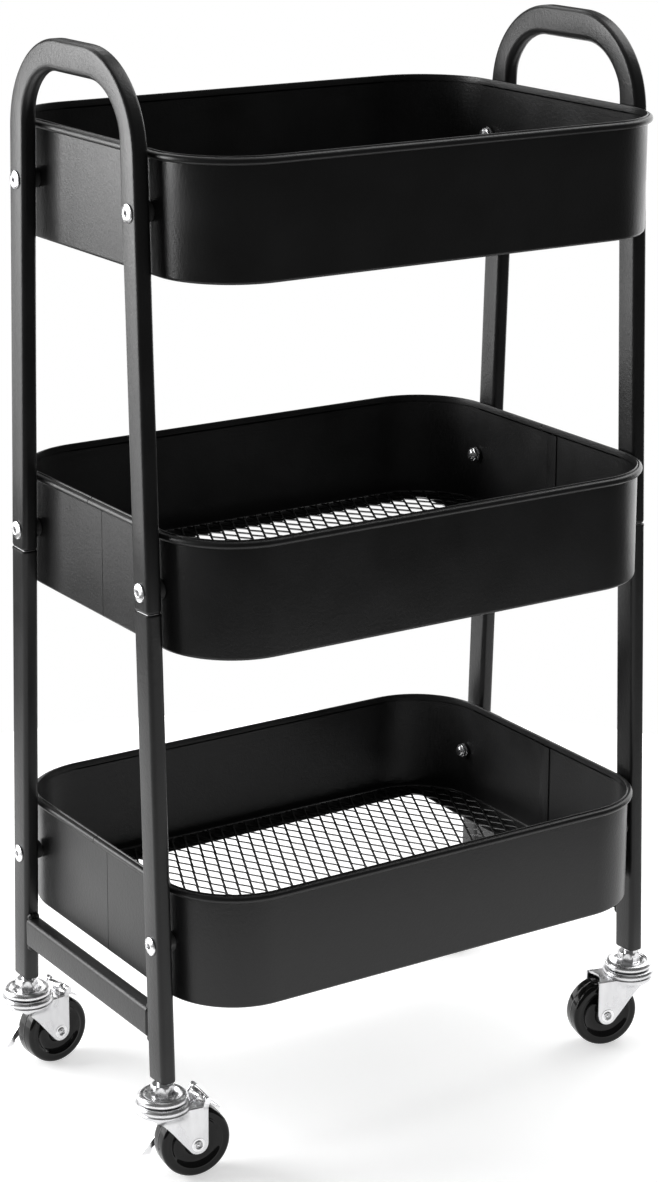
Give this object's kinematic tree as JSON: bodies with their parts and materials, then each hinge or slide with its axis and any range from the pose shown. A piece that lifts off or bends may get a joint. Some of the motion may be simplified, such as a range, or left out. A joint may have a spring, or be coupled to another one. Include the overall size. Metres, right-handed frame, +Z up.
{
  "type": "rolling pantry cart",
  "caption": "Rolling pantry cart: rectangular trays with mesh floors and rolled rims, held by screws between two tube side frames with loop handles, on swivel casters.",
  "frame": {"origin": "on the floor, at the middle of the cart in plan", "axes": "+X along the length of the cart, towards the right side frame; -Y the open front; +Z up"},
  "size_m": [0.4384, 0.289, 0.762],
  "materials": {
    "powder_coat": "satin black powder coat with a fine orange peel",
    "mesh_powder_coat": "satin black powder coat on expanded metal",
    "chrome_plate": "bright chrome plate",
    "zinc_plate": "bright zinc plate on pressed steel",
    "wheel_plastic": "glossy moulded black plastic",
    "black_nylon": "matte black nylon"
  },
  "bodies": {
    "root": {"left_hoop": "powder_coat", "right_hoop": "powder_coat", "front_left_leg": "powder_coat", "rear_left_leg": "powder_coat", "front_right_leg": "powder_coat", "rear_right_leg": "powder_coat", "left_crossbar": "powder_coat", "right_crossbar": "powder_coat", "leg_joint_ferrules": "zinc_plate", "leg_end_plugs": "black_nylon", "top_tray_shell": "powder_coat", "middle_tray_front": "powder_coat", "middle_tray_rear": "powder_coat", "bottom_tray_front": "powder_coat", "bottom_tray_rear": "powder_coat", "top_tray_mesh": "mesh_powder_coat", "middle_tray_mesh": "mesh_powder_coat", "bottom_tray_mesh": "mesh_powder_coat", "top_tray_screws": "chrome_plate", "middle_tray_screws": "chrome_plate", "bottom_tray_screws": "chrome_plate", "top_tray_cap_nuts": "chrome_plate", "middle_tray_cap_nuts": "chrome_plate", "bottom_tray_cap_nuts": "chrome_plate", "top_tray_spacers": "black_nylon", "middle_tray_spacers": "black_nylon", "bottom_tray_spacers": "black_nylon", "caster_stems": "chrome_plate", "caster_stem_nuts": "chrome_plate", "caster_caps": "chrome_plate", "caster_dust_rings": "black_nylon", "swivel_bearing_balls": "chrome_plate"},
    "front_left_swivel": {"front_left_fork": "zinc_plate", "front_left_axle": "chrome_plate", "front_left_axle_bush": "zinc_plate", "front_left_brake_pin": "chrome_plate"},
    "front_left_wheel": {"front_left_wheel": "wheel_plastic"},
    "front_left_brake": {"front_left_brake_lever": "chrome_plate"},
    "rear_left_swivel": {"rear_left_fork": "zinc_plate", "rear_left_axle": "chrome_plate", "rear_left_axle_bush": "zinc_plate", "rear_left_brake_pin": "chrome_plate"},
    "rear_left_wheel": {"rear_left_wheel": "wheel_plastic"},
    "rear_left_brake": {"rear_left_brake_lever": "chrome_plate"},
    "front_right_swivel": {"front_right_fork": "zinc_plate", "front_right_axle": "chrome_plate", "front_right_axle_bush": "zinc_plate"},
    "front_right_wheel": {"front_right_wheel": "wheel_plastic"},
    "rear_right_swivel": {"rear_right_fork": "zinc_plate", "rear_right_axle": "chrome_plate", "rear_right_axle_bush": "zinc_plate"},
    "rear_right_wheel": {"rear_right_wheel": "wheel_plastic"}
  },
  "joints": [
    {"name": "front_left_swivel_turn", "type": "hinge", "parent": "root", "child": "front_left_swivel", "pos_m": [-0.20025, -0.09936, 0.0555], "axis": [0, 0, 1], "continuous": true},
    {"name": "front_left_wheel_roll", "type": "hinge", "parent": "front_left_swivel", "child": "front_left_wheel", "pos_m": [-0.17945, -0.10228, 0.025], "axis": [0.1392, 0.9903, 0], "continuous": true},
    {"name": "front_left_brake_press", "type": "hinge", "parent": "front_left_swivel", "child": "front_left_brake", "pos_m": [-0.17262, -0.10324, 0.0566], "axis": [0.1392, 0.9903, 0], "range_deg": [0, 9]},
    {"name": "rear_left_swivel_turn", "type": "hinge", "parent": "root", "child": "rear_left_swivel", "pos_m": [-0.20025, 0.09936, 0.0555], "axis": [0, 0, 1], "continuous": true},
    {"name": "rear_left_wheel_roll", "type": "hinge", "parent": "rear_left_swivel", "child": "rear_left_wheel", "pos_m": [-0.17936, 0.10156, 0.025], "axis": [-0.1045, 0.9945, 0], "continuous": true},
    {"name": "rear_left_brake_press", "type": "hinge", "parent": "rear_left_swivel", "child": "rear_left_brake", "pos_m": [-0.1725, 0.10228, 0.0566], "axis": [-0.1045, 0.9945, 0], "range_deg": [0, 9]},
    {"name": "front_right_swivel_turn", "type": "hinge", "parent": "root", "child": "front_right_swivel", "pos_m": [0.20025, -0.09936, 0.0555], "axis": [0, 0, 1], "continuous": true},
    {"name": "front_right_wheel_roll", "type": "hinge", "parent": "front_right_swivel", "child": "front_right_wheel", "pos_m": [0.17987, -0.09428, 0.025], "axis": [-0.2419, -0.9703, 0], "continuous": true},
    {"name": "rear_right_swivel_turn", "type": "hinge", "parent": "root", "child": "rear_right_swivel", "pos_m": [0.20025, 0.09936, 0.0555], "axis": [0, 0, 1], "continuous": true},
    {"name": "rear_right_wheel_roll", "type": "hinge", "parent": "rear_right_swivel", "child": "rear_right_wheel", "pos_m": [0.17945, 0.10228, 0.025], "axis": [-0.1392, -0.9903, 0], "continuous": true}
  ]
}
